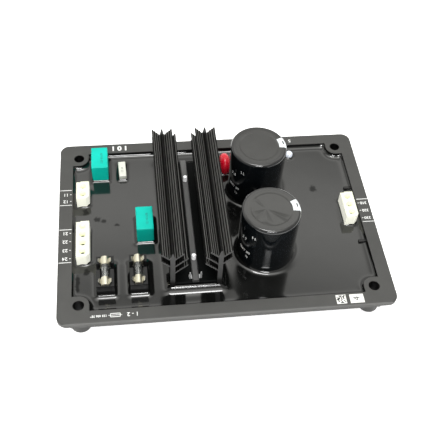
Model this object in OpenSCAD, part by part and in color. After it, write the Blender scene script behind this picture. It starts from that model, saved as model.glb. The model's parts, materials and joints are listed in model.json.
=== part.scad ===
// Potted automatic voltage regulator for a generator.
// A moulded tray holds a circuit board in resin. Heat sinks, capacitors, fuses and pin headers stand out of it.
// Millimetres. +X to the right, +Y to the back, +Z up. The origin is the tray's middle, at the feet's soles.

/* [Tray] */
// Width of the flange, left to right
tray_w = 200; // [196:1:220]
// Depth of the flange, front to back
tray_d = 140; // [138:1:160]
// Height of the rim above the feet
tray_h = 20; // [19:0.5:26]
// Radius of the flange's corners
corner_r = 6; // [3:0.5:9]
// Thickness of the flange
flange_t = 3; // [2:0.1:4]
// Rounding of the flange's upper edge
edge_r = 1; // [0.4:0.1:1.6]
// Step from the flange's edge in to the outside of the wall
wall_inset = 6.1; // [3:0.1:7]
// Radius of the corners of the tray's walls
body_r = 1.5; // [0.5:0.1:4]
// Thickness of the tray's wall
wall_t = 2.5; // [1.5:0.1:3.5]
// Thickness of the tray's floor
floor_t = 2.2; // [1.5:0.1:3]
// Height of the floor's underside above the standing surface
foot_h = 5.8; // [4:0.1:7]
// Step from the flange's edges in to each bolt hole's centre
hole_inset = 12.5; // [12:0.1:14]
// Diameter of the bolt holes
hole_d = 6.6; // [4:0.1:7]
// Diameter of the corner bosses and feet
boss_d = 12.5; // [10:0.1:13]
// Length of the gussets beside each foot
gusset_l = 8; // [4:0.5:12]
// Thickness of the gussets
gusset_t = 2.4; // [1.5:0.1:4]
// Height of the gussets' lower end above the standing surface
gusset_toe = 1.6; // [0.8:0.1:3]
// Reach of the two ribs on the right wall
rib_reach = 4.6; // [2:0.1:5]
// Thickness of the ribs
rib_t = 1.8; // [1:0.1:3]
// Distance of each rib from the middle
rib_y = 22; // [18:0.5:30]
// Depth of the ribs' tops below the rim
rib_drop = 2.2; // [1:0.1:3]

/* [Board and resin] */
// Thickness of the circuit board
board_t = 1.6; // [1:0.1:2]
// Height of the standoffs under the board
standoff_h = 2.4; // [1.5:0.1:3]
// Diameter of the standoffs
standoff_d = 6; // [4:0.5:8]
// Step from the side walls in to the standoffs
standoff_from_side = 14; // [12:0.5:18]
// Step from the front and back walls in to the standoffs
standoff_from_end = 20; // [16:0.5:24]
// Space between the board's edge and the tray
board_gap = 1; // [0.6:0.1:1.4]
// Depth of the resin's surface below the rim
resin_drop = 3.5; // [2.5:0.1:4.5]
// Clearance between the resin and what it surrounds
pot_gap = 0.1; // [0.05:0.05:0.2]
// Clearance round leads, pins and screws in their holes
fit_gap = 0.1; // [0.05:0.05:0.2]
// Diameter of thin component leads
lead_d = 0.8; // [0.5:0.1:1]

/* [Heat sinks] */
// Length of each extrusion
sink_l = 98; // [80:1:100]
// Height of each extrusion above the board
sink_h = 40.4; // [37:0.1:45]
// Distance between the two stems
sink_pitch = 27.5; // [26:0.5:32]
// Place of the middle between the stems, from the tray's middle
sink_x = -18.75; // [-22:0.25:-16]
// Place of the sinks' middle, from the tray's middle
sink_y = 0.5; // [-2:0.5:3]
// Thickness of the stems
stem_t = 2.8; // [2:0.1:3.2]
// Thickness of the fins
fin_t = 1; // [0.8:0.1:1.6]
// Reach of the outer fins and the top inner fin from the stem's middle
short_reach = 6.4; // [5:0.1:7]
// Reach of the two lower inner fins from the stem's middle
long_reach = 8.8; // [7:0.1:10]
// Drop of the lower outer fin's tip below the top
outer_drop = 6.5; // [5:0.1:8]
// Drop of the inner fins' tips below the top
inner_drop = 4.4; // [3.5:0.1:5]
// Spacing of the two long inner fins
inner_step = 6.2; // [5:0.1:7]
// Width of the stem's pointed top
spike_tip = 0.6; // [0.4:0.1:1.5]
// Height of the stem's pointed top
spike_h = 4.8; // [1:0.1:5]
// Spacing of the fine ribs along the fins
tooth_pitch = 1.3; // [1:0.1:2]
// Height of the fine ribs
tooth_h = 0.55; // [0.1:0.05:0.6]

/* [Carrier and power devices] */
// Height of the carrier block above the board
carrier_h = 9.2; // [7:0.1:11]
// Step from the sinks' ends in to the carrier's ends
carrier_step = 1; // [0:0.1:3]
// Chamfer along the carrier's front and rear edges
carrier_chamfer = 0.6; // [0.2:0.1:1]
// Width of the bar on the carrier
bar_w = 4; // [3:0.1:5]
// Height of the bar
bar_h = 2.2; // [1.5:0.1:3]
// Chamfer along the bar's upper edges
bar_chamfer = 0.5; // [0.2:0.1:0.8]
// Diameter of the two studs
stud_d = 2.6; // [1.6:0.1:2.8]
// Rounding of the studs' upper edges
stud_edge_r = 0.6; // [0.2:0.1:0.8]
// Height of the studs above the bar
stud_rise = 3.9; // [2:0.1:5]
// Distance between the studs
stud_pitch = 62.4; // [56:0.1:68]
// Place of the studs' middle behind the sinks' middle
stud_shift = -1.1; // [-3:0.1:1]
// Width over the clip's ears
clip_w = 7.6; // [7.4:0.1:9]
// Height of the ears above the carrier
clip_h = 6.2; // [3:0.1:7]
// Length of the clip along the bar
clip_l = 3; // [2:0.1:4]
// Thickness of the clip's sheet
clip_t = 0.5; // [0.3:0.1:0.8]
// Width of the ears
ear_w = 1.1; // [1:0.1:1.6]
// Width of the ears' tops
ear_tip_w = 0.6; // [0.4:0.1:1]
// Step from the carrier's front end in to the clip
clip_step = 2.6; // [1:0.1:4]
// Width of a power device
device_w = 10.2; // [9:0.1:12]
// Height of a device's tab
device_h = 15.5; // [14:0.1:16]
// Thickness of a device's tab
tab_t = 1.3; // [1:0.1:1.6]
// Thickness of a device over its moulded body
device_t = 4.5; // [4:0.1:5]
// Height of a device's moulded body
device_body_h = 9.2; // [8:0.1:9.4]
// Height of a device's body above the board
device_lift = 2; // [1.5:0.1:2.4]
// Distance between the two devices on one sink
device_pitch = 44; // [36:1:48]
// Spacing of a device's leads
device_lead_pitch = 2.54; // [2:0.02:3]
// Diameter of the device screws
screw_d = 3; // [2:0.1:3.4]
// Diameter of the screws' heads
screw_head_d = 5.4; // [4.4:0.1:5.8]
// Height of the screws' heads
screw_head_h = 2; // [1.2:0.1:2.4]
// Depth of the tab's screw hole below the tab's upper edge
tab_hole_drop = 2.9; // [2.6:0.1:3]
// Clearance round the devices in the carrier
device_gap = 0.3; // [0.2:0.1:0.6]

/* [Electrolytic capacitors] */
// Diameter over the sleeve
cap_d = 35; // [30:0.5:36]
// Height above the board
cap_h = 44.2; // [38:0.1:50]
// Space between the two capacitors
cap_space = 15.7; // [12:0.1:18]
// Space between the right sink's fins and the capacitors
cap_sink_space = 7.8; // [7:0.1:12]
// Place of the middle between the capacitors, from the tray's middle
cap_mid_y = 2; // [-4:0.5:3]
// Thickness of the sleeve
sleeve_t = 0.4; // [0.3:0.05:0.6]
// Clearance between sleeve and can
sleeve_gap = 0.05; // [0.05:0.05:0.1]
// Width of the sleeve's rolled edge on the top
sleeve_lip = 3.2; // [2:0.1:5]
// Rounding of the capacitor's upper edge
cap_edge_r = 1.8; // [1:0.1:2.5]
// Thickness of the end disc
disc_t = 0.25; // [0.1:0.05:0.3]
// Clearance round the end disc
disc_gap = 0.2; // [0.1:0.05:0.4]
// Spacing of the terminals
cap_lead_pitch = 10; // [8:0.1:12]
// Diameter of the terminals
cap_lead_d = 1.6; // [1:0.1:2]

/* [Film capacitors] */
// Width of the large film capacitors
film_w = 10.5; // [8:0.1:12]
// Length of the large film capacitors
film_l = 18; // [14:0.1:20]
// Height of the large film capacitors above the board
film_h = 18; // [12:0.1:22]
// Spacing of the large film capacitors' leads
film_lead_pitch = 15; // [10:0.1:15]
// Step from the left wall in to the upper film capacitor's middle
upper_film_from_left = 17.9; // [17:0.1:19]
// Step from the back wall in to the upper film capacitor's middle
upper_film_from_back = 12.8; // [11:0.1:14]
// Space between the left sink's fins and the lower film capacitor
lower_film_space = 2.5; // [1:0.1:4]
// Place of the lower film capacitor, from the tray's middle
lower_film_y = -3.6; // [-8:0.1:4]
// Width of the small film capacitor
small_film_w = 4.8; // [3:0.1:6]
// Length of the small film capacitor
small_film_l = 13; // [10:0.1:14]
// Height of the small film capacitor above the board
small_film_h = 8.7; // [7:0.1:12]
// Spacing of the small film capacitor's leads
small_film_lead_pitch = 10; // [7:0.1:10]
// Step from the left wall in to the small film capacitor's middle
small_film_from_left = 32.2; // [30:0.1:36]
// Step from the back wall in to the small film capacitor's middle
small_film_from_back = 15.2; // [12:0.1:18]
// Turn of the small film capacitor on the board
small_film_turn = 2.5; // [-6:0.5:6]
// Chamfer of the film capacitors' edges
film_chamfer = 0.4; // [0.2:0.1:0.8]

/* [Varistor and indicator lamp] */
// Diameter of the varistor's disc
varistor_d = 14.5; // [10:0.1:15]
// Thickness of the varistor's disc
varistor_t = 6.2; // [3:0.1:7]
// Height of the disc's lower edge above the board
varistor_lift = 1.5; // [1:0.1:3]
// Space between the right sink's fins and the varistor
varistor_space = 4.6; // [3:0.1:6]
// Step from the back wall in to the varistor's middle
varistor_from_back = 15.6; // [9:0.1:16]
// Length of the varistor's leads inside the disc
varistor_lead_in = 3.6; // [2:0.1:4]
// Spacing of the varistor's leads
varistor_lead_pitch = 7.5; // [5:0.1:8]
// Diameter of the lamp's body
lamp_d = 5; // [3:0.1:6]
// Height of the lamp above the board
lamp_h = 8.6; // [7:0.1:10]
// Width of the lamp's flange beyond its body
lamp_flange = 0.4; // [0.2:0.1:0.6]
// Thickness of the lamp's flange
lamp_flange_t = 1; // [0.6:0.1:1.4]
// Place of the lamp to the right of the tray's middle
lamp_x = 55; // [48:0.5:70]
// Step from the back wall in to the lamp's middle
lamp_from_back = 7.2; // [5:0.1:9]
// Spacing of the lamp's leads
lamp_lead_pitch = 2.54; // [2:0.02:3]

/* [Pin headers] */
// Spacing of the pins
header_pitch = 6.35; // [5:0.05:6.6]
// Width of the housings
header_w = 8; // [7:0.1:9]
// Length of a housing beyond its pins' share
header_end = 1.5; // [1:0.1:2.5]
// Height of the housings above the board
header_h = 13.3; // [10:0.1:16]
// Thickness of the housings' floor
header_floor_t = 4.5; // [3:0.1:5]
// Diameter of the pin cavities
cavity_d = 4; // [3.4:0.1:4.8]
// Chamfer of the keyed corner
header_chamfer = 2; // [1:0.1:2.2]
// Width of the step at the housings' rear end
header_step_w = 2.7; // [1:0.1:4]
// Depth of that step
header_step_d = 0.6; // [0.3:0.1:0.7]
// Diameter of the pins
pin_d = 2.1; // [1.5:0.1:2.4]
// Depth of the pins' tips below the housings' tops
pin_drop = 4.6; // [1:0.1:6]
// Height of the pins' tapered tips
pin_tip_h = 1.4; // [0.8:0.1:2]
// Space between the headers and the side walls
header_wall_space = 2.7; // [1.5:0.1:3.5]
// Place of the two-way header behind the tray's middle
two_way_y = 25.4; // [24:0.1:30]
// Place of the four-way header before the tray's middle
four_way_y = -13.4; // [-15:0.1:-10]
// Place of the three-way header from the tray's middle
three_way_y = 1.9; // [-4:0.1:6]

/* [Fuses] */
// Diameter of a fuse over its end caps
fuse_d = 5.2; // [4.4:0.1:5.4]
// Length of a fuse
fuse_l = 20; // [18:0.1:21]
// Length of the end caps
fuse_cap_l = 5.5; // [4:0.1:6]
// Thickness of the end caps' sheet
fuse_cap_t = 0.25; // [0.2:0.05:0.4]
// Wall of the glass tube
glass_t = 0.55; // [0.4:0.05:0.8]
// Diameter of the fuse wire
fuse_wire_d = 0.4; // [0.2:0.1:0.8]
// Width of a holder's base
holder_w = 10.3; // [10:0.1:12]
// Length of a holder's base
holder_l = 21.4; // [21:0.1:24]
// Height of a holder's base above the board
holder_h = 14.5; // [12:0.1:17]
// Depth of the trough in the base
trough_depth = 5.1; // [4:0.1:6]
// Clearance at the fuse's ends in the trough
trough_end_gap = 0.2; // [0.1:0.05:0.4]
// Space beside the fuse in the trough, and round the clips in their pockets
trough_space = 0.3; // [0.2:0.1:0.5]
// Length of the gap across the base
gap_l = 4.2; // [2:0.1:5]
// Depth of that gap
gap_depth = 7.2; // [5:0.1:9]
// Length of the base's block behind the gap
rear_block_l = 5.2; // [4.8:0.1:6]
// Thickness of the spring clips' sheet
spring_t = 0.4; // [0.3:0.05:0.6]
// Length of a spring clip along the fuse
spring_l = 3.2; // [2:0.1:4]
// Height of the clip's neck between its base and the fuse
spring_neck_h = 0.6; // [0.3:0.1:1]
// Width of the clip's neck
spring_neck_w = 2; // [1:0.1:3]
// Half angle of the clip's open top
spring_open = 62; // [40:1:64]
// Length of the clip's flared lips
spring_lip = 1.8; // [0.8:0.1:2]
// Lean of the lips from upright
spring_flare = 50; // [20:1:60]
// Length of the lips' narrow ends along the fuse
lip_tip_l = 0.8; // [0.4:0.1:2]
// Diameter of the clips' board pins
spring_pin_d = 1.2; // [0.8:0.1:1.5]
// Clearance between fuse and clip
spring_gap = 0.1; // [0.05:0.05:0.15]
// Step from the left wall in to the left fuse's middle
fuse_from_left = 19.8; // [18.5:0.1:20.5]
// Distance between the two fuses
fuse_pitch = 19.5; // [17:0.1:20]
// Step from the front wall in to the fuses' middle
fuse_from_front = 22.2; // [18:0.1:24]

/* [Hidden] */
$fn = 64;
eps = 0.01;
// Length by which cuts reach past the faces that they open
over = 1;

// Levels
floor_z = foot_h + floor_t;
board_z = floor_z + standoff_h;
board_top = board_z + board_t;
resin_z = tray_h - resin_drop;
carrier_z = board_top + carrier_h;

// Inside of the tray
body_w = tray_w - 2 * wall_inset;
body_d = tray_d - 2 * wall_inset;
pool_w = body_w - 2 * wall_t;
pool_d = body_d - 2 * wall_t;
hole_x = tray_w / 2 - hole_inset;
hole_y = tray_d / 2 - hole_inset;
standoff_x = pool_w / 2 - standoff_from_side;
standoff_y = pool_d / 2 - standoff_from_end;

// Heat sinks and carrier
left_stem_x = sink_x - sink_pitch / 2;
right_stem_x = sink_x + sink_pitch / 2;
fin_v = fin_t * sqrt(2);
carrier_w = sink_pitch - stem_t;
carrier_l = sink_l - 2 * carrier_step;
tab_hole_z = device_lift + device_h - tab_hole_drop;

// Electrolytic capacitors
cap_x = right_stem_x + short_reach + cap_sink_space + cap_d / 2;
cap_step_y = (cap_d + cap_space) / 2;
can_r = cap_d / 2 - sleeve_t - sleeve_gap;
can_h = cap_h - sleeve_t - sleeve_gap;
can_edge_r = cap_edge_r - sleeve_t - sleeve_gap;

// Places of the other components
upper_film_x = upper_film_from_left - pool_w / 2;
upper_film_y = pool_d / 2 - upper_film_from_back;
lower_film_x = left_stem_x - short_reach - lower_film_space - film_w / 2;
small_film_x = small_film_from_left - pool_w / 2;
small_film_y = pool_d / 2 - small_film_from_back;
varistor_x = right_stem_x + short_reach + varistor_space + varistor_t / 2;
varistor_y = pool_d / 2 - varistor_from_back;
lamp_y = pool_d / 2 - lamp_from_back;
header_x = pool_w / 2 - header_wall_space - header_w / 2;
left_fuse_x = fuse_from_left - pool_w / 2;
right_fuse_x = left_fuse_x + fuse_pitch;
fuse_y = fuse_from_front - pool_d / 2;

// Fuses and clips
clip_ring_r = fuse_d / 2 + spring_gap;
trough_z = holder_h - trough_depth;
trough_w = fuse_d + 2 * trough_space;
trough_l = fuse_l + 2 * trough_end_gap;
clip_outer_r = clip_ring_r + spring_t;
pocket_w = 2 * (clip_outer_r + trough_space);
pocket_l = spring_l + 2 * trough_space;
fuse_z = trough_z + spring_t + spring_neck_h + spring_t + clip_ring_r;
clip_y = (fuse_l - fuse_cap_l) / 2;
glass_d = fuse_d - 2 * fuse_cap_t - 2 * spring_gap;

// Shapes that several pieces share

module rounded_rect(w, d, r) {
    square([w - 2 * r, d], center = true);
    square([w, d - 2 * r], center = true);
    for (sx = [-1, 1], sy = [-1, 1])
        translate([sx * (w / 2 - r), sy * (d / 2 - r)])
            circle(r);
}

// Block with round upright edges, and a rounded upper edge of radius e
module soft_block(w, d, h, r, e) {
    linear_extrude(h - e)
        rounded_rect(w, d, r);
    linear_extrude(h)
        rounded_rect(w - 2 * e, d - 2 * e, r - e);
    for (s = [-1, 1]) {
        translate([0, s * (d / 2 - e), h - e])
            rotate([0, 90, 0])
                cylinder(r = e, h = w - 2 * r, center = true);
        translate([s * (w / 2 - e), 0, h - e])
            rotate([90, 0, 0])
                cylinder(r = e, h = d - 2 * r, center = true);
    }
    for (sx = [-1, 1], sy = [-1, 1])
        translate([sx * (w / 2 - r), sy * (d / 2 - r), h - e])
            rotate_extrude()
                translate([r - e, 0])
                    circle(e);
}

// Block with small chamfers on its upright and upper edges
module chamfered_block(w, d, h, c) {
    x = w / 2;
    y = d / 2;
    intersection() {
        linear_extrude(h)
            polygon([
                [c - x, -y], [x - c, -y], [x, c - y], [x, y - c],
                [x - c, y], [c - x, y], [-x, y - c], [-x, c - y]]);
        translate([0, d, 0])
            rotate([90, 0, 0])
                linear_extrude(2 * d)
                    polygon([[-x, -c], [x, -c], [x, h - c], [x - c, h], [c - x, h], [-x, h - c]]);
        rotate([90, 0, 90])
            translate([0, 0, -w])
                linear_extrude(2 * w)
                    polygon([[-y, -c], [y, -c], [y, h - c], [y - c, h], [c - y, h], [-y, h - c]]);
    }
}

module on_board() {
    translate([0, 0, board_top])
        children();
}

// Repeats its children at the four bolt holes, with +X and +Y pointing out to the tray's corner
module at_corners() {
    for (sx = [-1, 1], sy = [-1, 1])
        translate([sx * hole_x, sy * hole_y])
            mirror([sx < 0 ? 1 : 0, 0])
                mirror([0, sy < 0 ? 1 : 0])
                    children();
}

// Leads through the board, as outlines in the plan
module leads_through(h = 0) {
    translate([0, 0, -board_t])
        linear_extrude(board_t + h)
            children();
}

module lead_row(count, pitch, d, grow = 0) {
    for (i = [0 : count - 1])
        translate([0, (i - (count - 1) / 2) * pitch])
            circle(d = d + 2 * grow);
}

// Tray

module corner_pad(grow) {
    reach = boss_d / 2 + grow;
    circle(reach);
    translate([-reach, 0])
        square([reach + hole_inset, hole_inset]);
    translate([0, -reach])
        square([hole_inset, reach + hole_inset]);
}

module pool_outline(inset) {
    difference() {
        square([pool_w - 2 * inset, pool_d - 2 * inset], center = true);
        at_corners()
            corner_pad(inset);
    }
}

module gusset() {
    translate([0, gusset_t / 2, 0])
        rotate([90, 0, 0])
            linear_extrude(gusset_t)
                polygon([
                    [-boss_d / 2 - gusset_l, foot_h + eps],
                    [0, foot_h + eps],
                    [0, gusset_toe],
                    [-boss_d / 2, gusset_toe]]);
}

module at_standoffs() {
    for (x = [-standoff_x, 0, standoff_x], y = [-standoff_y, standoff_y])
        translate([x, y])
            children();
}

module at_ribs() {
    for (s = [-1, 1])
        translate([pool_w / 2 - rib_reach / 2, s * rib_y])
            children();
}

module tray() {
    color("#3e3f3d") {
        difference() {
            union() {
                translate([0, 0, tray_h - flange_t])
                    soft_block(tray_w, tray_d, flange_t, corner_r, edge_r);
                translate([0, 0, foot_h])
                    linear_extrude(tray_h - flange_t - foot_h)
                        rounded_rect(body_w, body_d, body_r);
                at_corners() {
                    cylinder(d = boss_d, h = tray_h - flange_t);
                    gusset();
                    rotate([0, 0, 90])
                        mirror([0, 1, 0])
                            gusset();
                }
            }
            translate([0, 0, floor_z])
                linear_extrude(tray_h)
                    pool_outline(0);
            at_corners()
                translate([0, 0, -tray_h])
                    cylinder(d = hole_d, h = 3 * tray_h);
        }
        translate([0, 0, floor_z - eps])
            linear_extrude(standoff_h + eps)
                at_standoffs()
                    circle(d = standoff_d);
        on_board()
            linear_extrude(tray_h - rib_drop - board_top)
                at_ribs()
                    translate([eps, 0])
                        square([rib_reach + eps, rib_t], center = true);
    }
}

// Circuit board and resin

module board_outline(grow) {
    difference() {
        square([pool_w - 2 * (board_gap - grow), pool_d - 2 * (board_gap - grow)], center = true);
        at_corners()
            corner_pad(board_gap - grow);
    }
}

module circuit_board() {
    color("#2f5d3a")
        translate([0, 0, board_z])
            linear_extrude(board_t)
                difference() {
                    board_outline(0);
                    at_capacitors([-1, 1])
                        capacitor_leads(fit_gap);
                    at_upper_film()
                        film_leads(fit_gap);
                    at_lower_film()
                        film_leads(fit_gap);
                    at_small_film()
                        small_film_leads(fit_gap);
                    at_varistor()
                        varistor_leads(fit_gap);
                    at_lamp()
                        lamp_leads(fit_gap);
                    at_two_way()
                        header_leads(2, fit_gap);
                    at_four_way()
                        header_leads(4, fit_gap);
                    at_three_way()
                        header_leads(3, fit_gap);
                    at_fuses([0, 1])
                        clip_leads(fit_gap);
                    at_devices([-1, 1], [-1, 1])
                        device_leads(fit_gap);
                }
}

// Outlines of all that stands in the resin, seen in the plan
module footprints(grow) {
    at_ribs()
        square([rib_reach + 2 * grow, rib_t + 2 * grow], center = true);
    for (x = [left_stem_x, right_stem_x])
        translate([x, sink_y])
            square([stem_t + 2 * grow, sink_l + 2 * grow], center = true);
    translate([sink_x, sink_y])
        square([carrier_w + 2 * grow, carrier_l + 2 * grow], center = true);
    at_capacitors([-1, 1])
        circle(d = cap_d + 2 * grow);
    at_upper_film()
        square([film_w + 2 * grow, film_l + 2 * grow], center = true);
    at_lower_film()
        square([film_w + 2 * grow, film_l + 2 * grow], center = true);
    at_small_film()
        square([small_film_w + 2 * grow, small_film_l + 2 * grow], center = true);
    at_varistor()
        square([varistor_t + 2 * grow, varistor_d + 2 * grow], center = true);
    at_lamp()
        circle(d = lamp_d + 2 * (lamp_flange + grow));
    at_two_way()
        header_outline(2, grow);
    at_four_way()
        header_outline(4, grow);
    at_three_way()
        header_outline(3, grow);
    at_fuses([0, 1])
        square([holder_w + 2 * grow, holder_l + 2 * grow], center = true);
}

module potting_resin() {
    color("#26282a") {
        translate([0, 0, floor_z])
            linear_extrude(standoff_h)
                difference() {
                    pool_outline(pot_gap);
                    at_standoffs()
                        circle(d = standoff_d + 2 * pot_gap);
                }
        translate([0, 0, board_z])
            linear_extrude(board_t)
                difference() {
                    pool_outline(pot_gap);
                    board_outline(pot_gap);
                }
        on_board()
            linear_extrude(resin_z - board_top)
                difference() {
                    pool_outline(pot_gap);
                    footprints(pot_gap);
                }
    }
}

// Heat sinks

// Outline of one slanted fin whose tip is at [reach, tip_z], from its lower root to its upper root.
// Fine ribs run along its upper face.
function fin_points(reach, tip_z) = concat(
    [[stem_t / 2, tip_z - fin_v - reach + stem_t / 2],
    [reach, tip_z - fin_v],
    [reach, tip_z]],
    [for (x = [reach - tooth_pitch / 2 : -tooth_pitch : stem_t / 2 + tooth_pitch / 2], k = [1, 0, -1])
        k == 0
            ? [x - tooth_h / 2, tip_z - reach + x + tooth_h]
            : [x + k * tooth_pitch / 4, tip_z - reach + x + k * tooth_pitch / 4]],
    [[stem_t / 2, tip_z - reach + stem_t / 2]]);

function mirrored(points) = [for (i = [len(points) - 1 : -1 : 0]) [-points[i][0], points[i][1]]];

// Section of the extrusion, with its inner fins towards +X
module sink_section() {
    inner = concat(
        [[stem_t / 2, 0]],
        fin_points(long_reach, sink_h - inner_drop - inner_step),
        fin_points(long_reach, sink_h - inner_drop),
        fin_points(short_reach, sink_h),
        [[stem_t / 2, sink_h - spike_h], [spike_tip / 2, sink_h]]);
    outer = concat(
        [[stem_t / 2, 0]],
        fin_points(short_reach, sink_h - outer_drop),
        fin_points(short_reach, sink_h),
        [[stem_t / 2, sink_h - spike_h], [spike_tip / 2, sink_h]]);
    polygon(concat(inner, mirrored(outer)));
}

module heat_sink() {
    color("#1d1e20")
        difference() {
            translate([0, sink_l / 2, 0])
                rotate([90, 0, 0])
                    linear_extrude(sink_l)
                        sink_section();
            for (s = [-1, 1])
                translate([0, s * device_pitch / 2, tab_hole_z])
                    rotate([0, 90, 0])
                        cylinder(d = screw_d + 2 * fit_gap, h = 2 * stem_t, center = true);
        }
}

module left_heat_sink() {
    on_board()
        translate([left_stem_x, sink_y])
            heat_sink();
}

module right_heat_sink() {
    on_board()
        translate([right_stem_x, sink_y])
            mirror([1, 0, 0])
                heat_sink();
}

// Carrier block between the sinks, with its bar, studs and clips

module at_studs() {
    for (s = [-1, 1])
        translate([sink_x, sink_y + stud_shift + s * stud_pitch / 2])
            children();
}

module at_clip() {
    translate([sink_x, sink_y - carrier_l / 2 + clip_step + clip_l / 2])
        children();
}

module sink_carrier() {
    color("#161718")
        on_board()
            difference() {
                translate([sink_x - carrier_w / 2, sink_y, 0])
                    rotate([90, 0, 90])
                        linear_extrude(carrier_w)
                            polygon([
                                [-carrier_l / 2, 0],
                                [carrier_l / 2, 0],
                                [carrier_l / 2, carrier_h - carrier_chamfer],
                                [carrier_l / 2 - carrier_chamfer, carrier_h],
                                [carrier_chamfer - carrier_l / 2, carrier_h],
                                [-carrier_l / 2, carrier_h - carrier_chamfer]]);
                at_devices([-1, 1], [-1, 1])
                    translate([-eps, -device_w / 2 - device_gap, -eps])
                        cube([device_t + device_gap, device_w + 2 * device_gap, carrier_h + over]);
                at_clip()
                    translate([-clip_w / 2, -clip_l / 2, carrier_h - clip_t])
                        cube([clip_w, clip_l, 2 * clip_t]);
                at_studs()
                    translate([0, 0, -over])
                        cylinder(d = stud_d + 2 * fit_gap, h = carrier_h + 2 * over);
            }
}

module carrier_bar() {
    color("#4a4c4d")
        difference() {
            translate([sink_x, sink_y + carrier_l / 2, carrier_z])
                rotate([90, 0, 0])
                    linear_extrude(carrier_l)
                        polygon([
                            [-bar_w / 2, 0],
                            [bar_w / 2, 0],
                            [bar_w / 2, bar_h - bar_chamfer],
                            [bar_w / 2 - bar_chamfer, bar_h],
                            [-bar_w / 2 + bar_chamfer, bar_h],
                            [-bar_w / 2, bar_h - bar_chamfer]]);
            at_studs()
                translate([0, 0, carrier_z - over])
                    cylinder(d = stud_d + 2 * fit_gap, h = bar_h + 2 * over);
        }
}

module carrier_studs() {
    rise = carrier_h + bar_h + stud_rise;
    color("#d9dadb")
        on_board()
            at_studs()
                rotate_extrude()
                    can_section(stud_d / 2, rise, stud_edge_r);
}

// A strip under the bar, with an upright ear on each side of it
module bar_clips() {
    color("#b9bbbd")
        translate([0, 0, carrier_z])
            at_clip() {
                translate([-clip_w / 2, -clip_l / 2, -clip_t])
                    cube([clip_w, clip_l, clip_t]);
                for (s = [-1, 1])
                    translate([s * (clip_w - ear_w) / 2, clip_t - clip_l / 2, 0])
                        rotate([90, 0, 0])
                            linear_extrude(clip_t)
                                polygon([
                                    [-ear_w / 2, -clip_t],
                                    [ear_w / 2, -clip_t],
                                    [ear_w / 2, clip_h / 2],
                                    [ear_tip_w / 2, clip_h],
                                    [-ear_tip_w / 2, clip_h],
                                    [-ear_w / 2, clip_h / 2]]);
            }
}

// Power devices on the inner faces of the stems.
// side is -1 for the left sink and 1 for the right one, row is -1 for the front and 1 for the rear.
module at_devices(sides, rows) {
    for (side = sides, row = rows)
        translate([sink_x + side * carrier_w / 2, sink_y + row * device_pitch / 2])
            mirror([side > 0 ? 1 : 0, 0])
                children();
}

module device_leads(grow = 0) {
    translate([(tab_t + device_t) / 2, 0])
        lead_row(3, device_lead_pitch, lead_d, grow);
}

module power_device(side, row) {
    color("#2b2c2e")
        on_board()
            at_devices([side], [row]) {
                leads_through(device_lift + eps)
                    device_leads();
                difference() {
                    translate([0, -device_w / 2, device_lift])
                        cube([tab_t, device_w, device_h]);
                    translate([0, 0, tab_hole_z])
                        rotate([0, 90, 0])
                            cylinder(d = screw_d + 2 * fit_gap, h = 4 * tab_t, center = true);
                }
                translate([0, -device_w / 2, device_lift])
                    cube([device_t, device_w, device_body_h]);
            }
}

module left_front_device() {
    power_device(-1, -1);
}

module left_rear_device() {
    power_device(-1, 1);
}

module right_front_device() {
    power_device(1, -1);
}

module right_rear_device() {
    power_device(1, 1);
}

module device_screws() {
    color("#c4c6c8")
        on_board()
            at_devices([-1, 1], [-1, 1])
                translate([0, 0, tab_hole_z])
                    rotate([0, 90, 0]) {
                        translate([0, 0, -stem_t])
                            cylinder(d = screw_d, h = stem_t + tab_t + eps);
                        translate([0, 0, tab_t])
                            cylinder(d = screw_head_d, h = screw_head_h);
                    }
}

// Electrolytic capacitors

module at_capacitors(rows) {
    for (row = rows)
        translate([cap_x, cap_mid_y + row * cap_step_y])
            children();
}

module capacitor_leads(grow = 0) {
    lead_row(2, cap_lead_pitch, cap_lead_d, grow);
}

// Half section of a can with a rounded upper edge
module can_section(r, h, edge) {
    square([r, h - edge]);
    square([r - edge, h]);
    translate([r - edge, h - edge])
        intersection() {
            circle(edge);
            square(edge);
        }
}

module capacitor_can(row) {
    color("#b7b9bb")
        on_board()
            at_capacitors([row]) {
                rotate_extrude()
                    can_section(can_r, can_h, can_edge_r);
                leads_through(eps)
                    capacitor_leads();
            }
}

module capacitor_sleeve(row) {
    color("#0d0f10")
        on_board()
            at_capacitors([row])
                rotate_extrude()
                    difference() {
                        can_section(cap_d / 2, cap_h, cap_edge_r);
                        can_section(can_r + sleeve_gap, can_h + sleeve_gap, can_edge_r + sleeve_gap);
                        square([cap_d / 2 - sleeve_lip, 2 * cap_h]);
                    }
}

module capacitor_disc(row) {
    color("#4f504e")
        on_board()
            at_capacitors([row])
                translate([0, 0, can_h])
                    cylinder(r = cap_d / 2 - sleeve_lip - disc_gap, h = disc_t);
}

module front_capacitor_can() {
    capacitor_can(-1);
}

module front_capacitor_sleeve() {
    capacitor_sleeve(-1);
}

module front_capacitor_disc() {
    capacitor_disc(-1);
}

module rear_capacitor_can() {
    capacitor_can(1);
}

module rear_capacitor_sleeve() {
    capacitor_sleeve(1);
}

module rear_capacitor_disc() {
    capacitor_disc(1);
}

// Film capacitors

module at_upper_film() {
    translate([upper_film_x, upper_film_y])
        children();
}

module at_lower_film() {
    translate([lower_film_x, lower_film_y])
        children();
}

module at_small_film() {
    translate([small_film_x, small_film_y])
        rotate(small_film_turn)
            children();
}

module film_leads(grow = 0) {
    lead_row(2, film_lead_pitch, lead_d, grow);
}

module small_film_leads(grow = 0) {
    lead_row(2, small_film_lead_pitch, lead_d, grow);
}

module film_capacitor() {
    color("#12a892") {
        chamfered_block(film_w, film_l, film_h, film_chamfer);
        leads_through(eps)
            film_leads();
    }
}

module upper_film_capacitor() {
    on_board()
        at_upper_film()
            film_capacitor();
}

module lower_film_capacitor() {
    on_board()
        at_lower_film()
            film_capacitor();
}

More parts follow.
